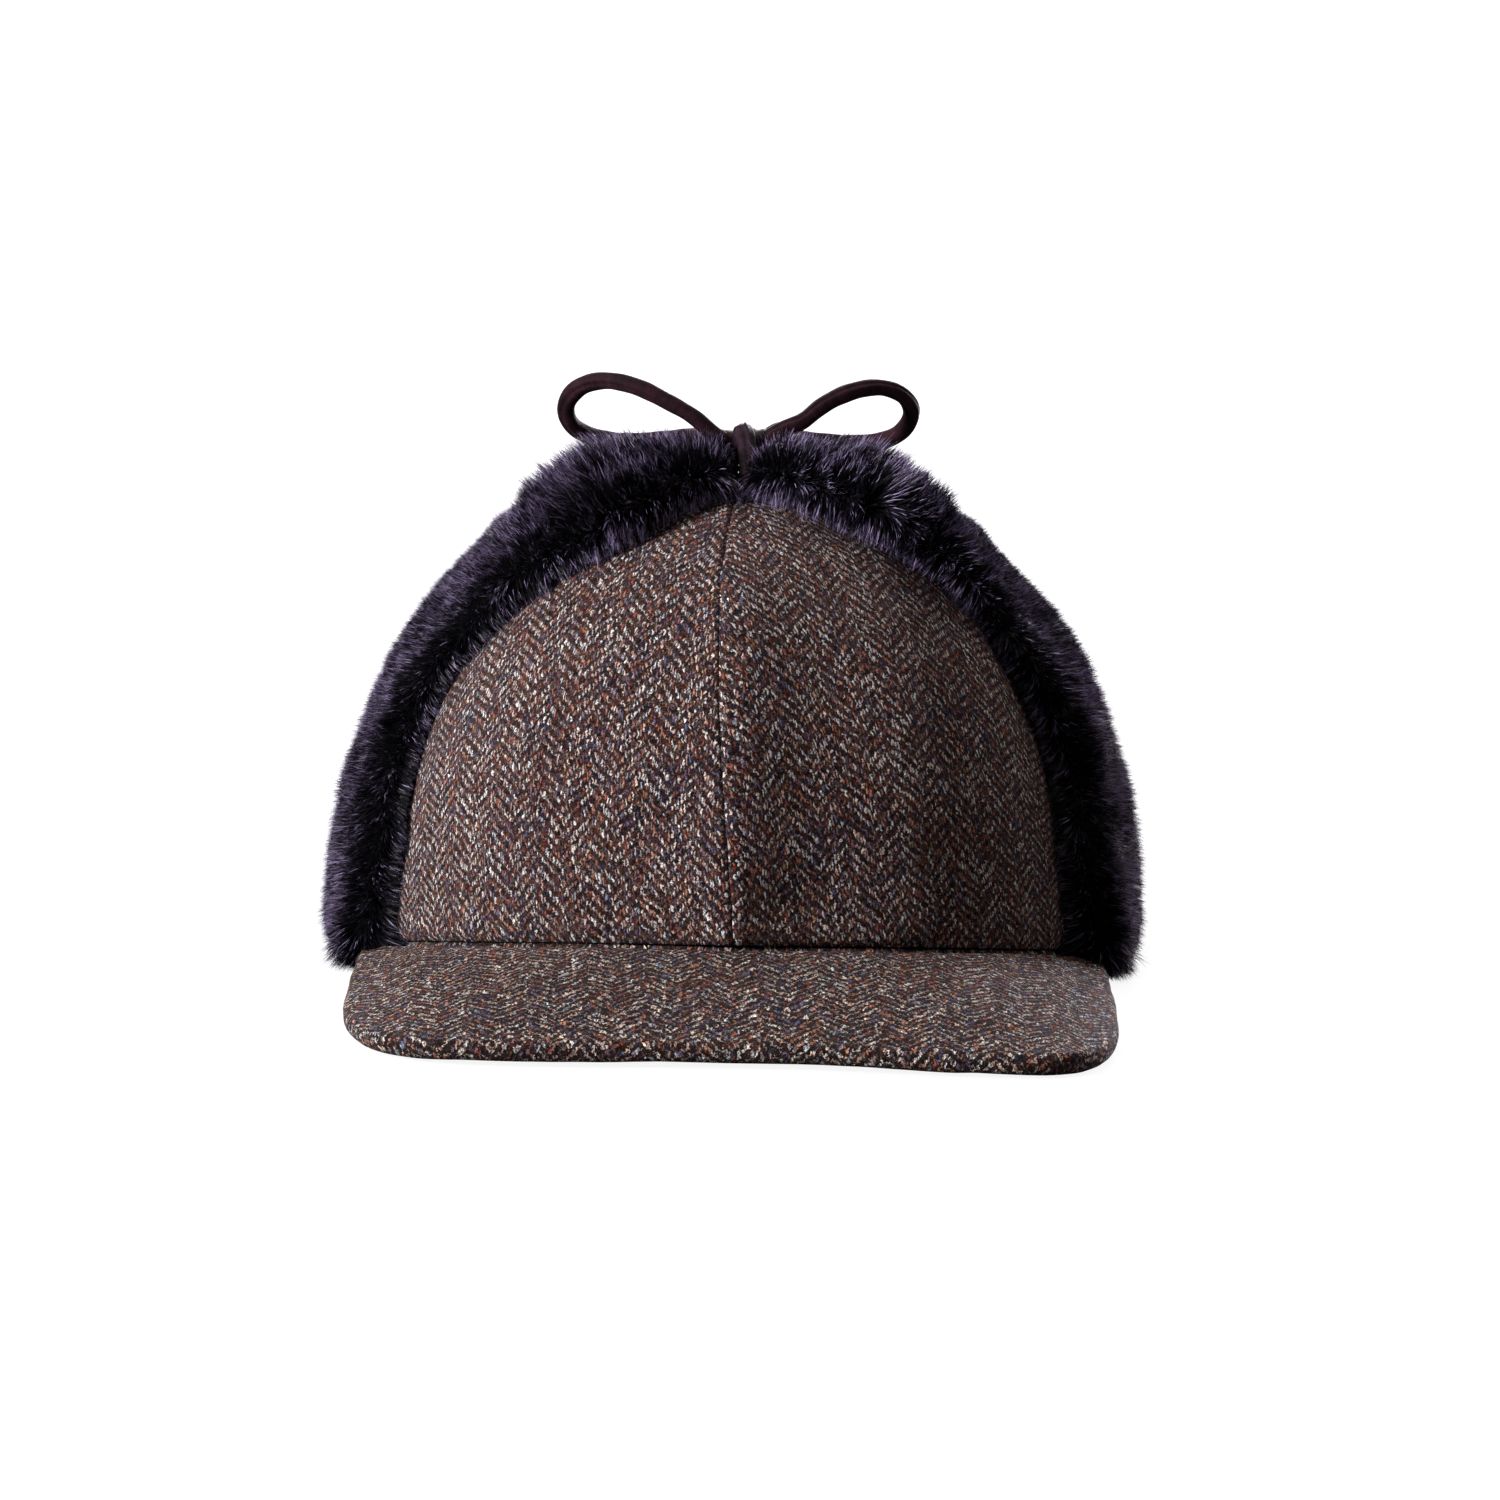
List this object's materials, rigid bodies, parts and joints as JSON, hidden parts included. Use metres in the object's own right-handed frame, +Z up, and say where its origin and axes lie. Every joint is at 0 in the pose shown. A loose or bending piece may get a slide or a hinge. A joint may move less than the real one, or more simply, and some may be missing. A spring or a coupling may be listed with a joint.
{
  "type": "earflap cap",
  "caption": "Cloth cap with a stiff peak, whose fur-faced ear and neck flaps are folded up outside the crown and tied on top with a lace.",
  "frame": {"origin": "on the surface that the cap rests on, under the middle of the whole cap", "axes": "+Z up, -Y towards the peak, +X towards the wearer's left"},
  "size_m": [0.202, 0.2812, 0.1393],
  "materials": {
    "tweed": "woollen herringbone tweed in brown, grey and rust yarns",
    "fur": "dense imitation fur, black with lilac-grey tips",
    "lace": "soft dark brown leather lace"
  },
  "bodies": {
    "root": {"crown_front_left": "tweed", "crown_front_right": "tweed", "crown_side_left": "tweed", "crown_side_right": "tweed", "crown_back_left": "tweed", "crown_back_right": "tweed", "peak": "tweed", "earflap_cloth_left": "tweed", "earflap_cloth_right": "tweed", "neck_flap_cloth": "tweed", "earflap_fur_left": "fur", "earflap_fur_right": "fur", "neck_flap_fur": "fur", "tie_loop_left": "lace", "tie_loop_right": "lace", "tie_end_left": "lace", "tie_end_right": "lace", "tie_knot": "lace"}
  },
  "joints": []
}
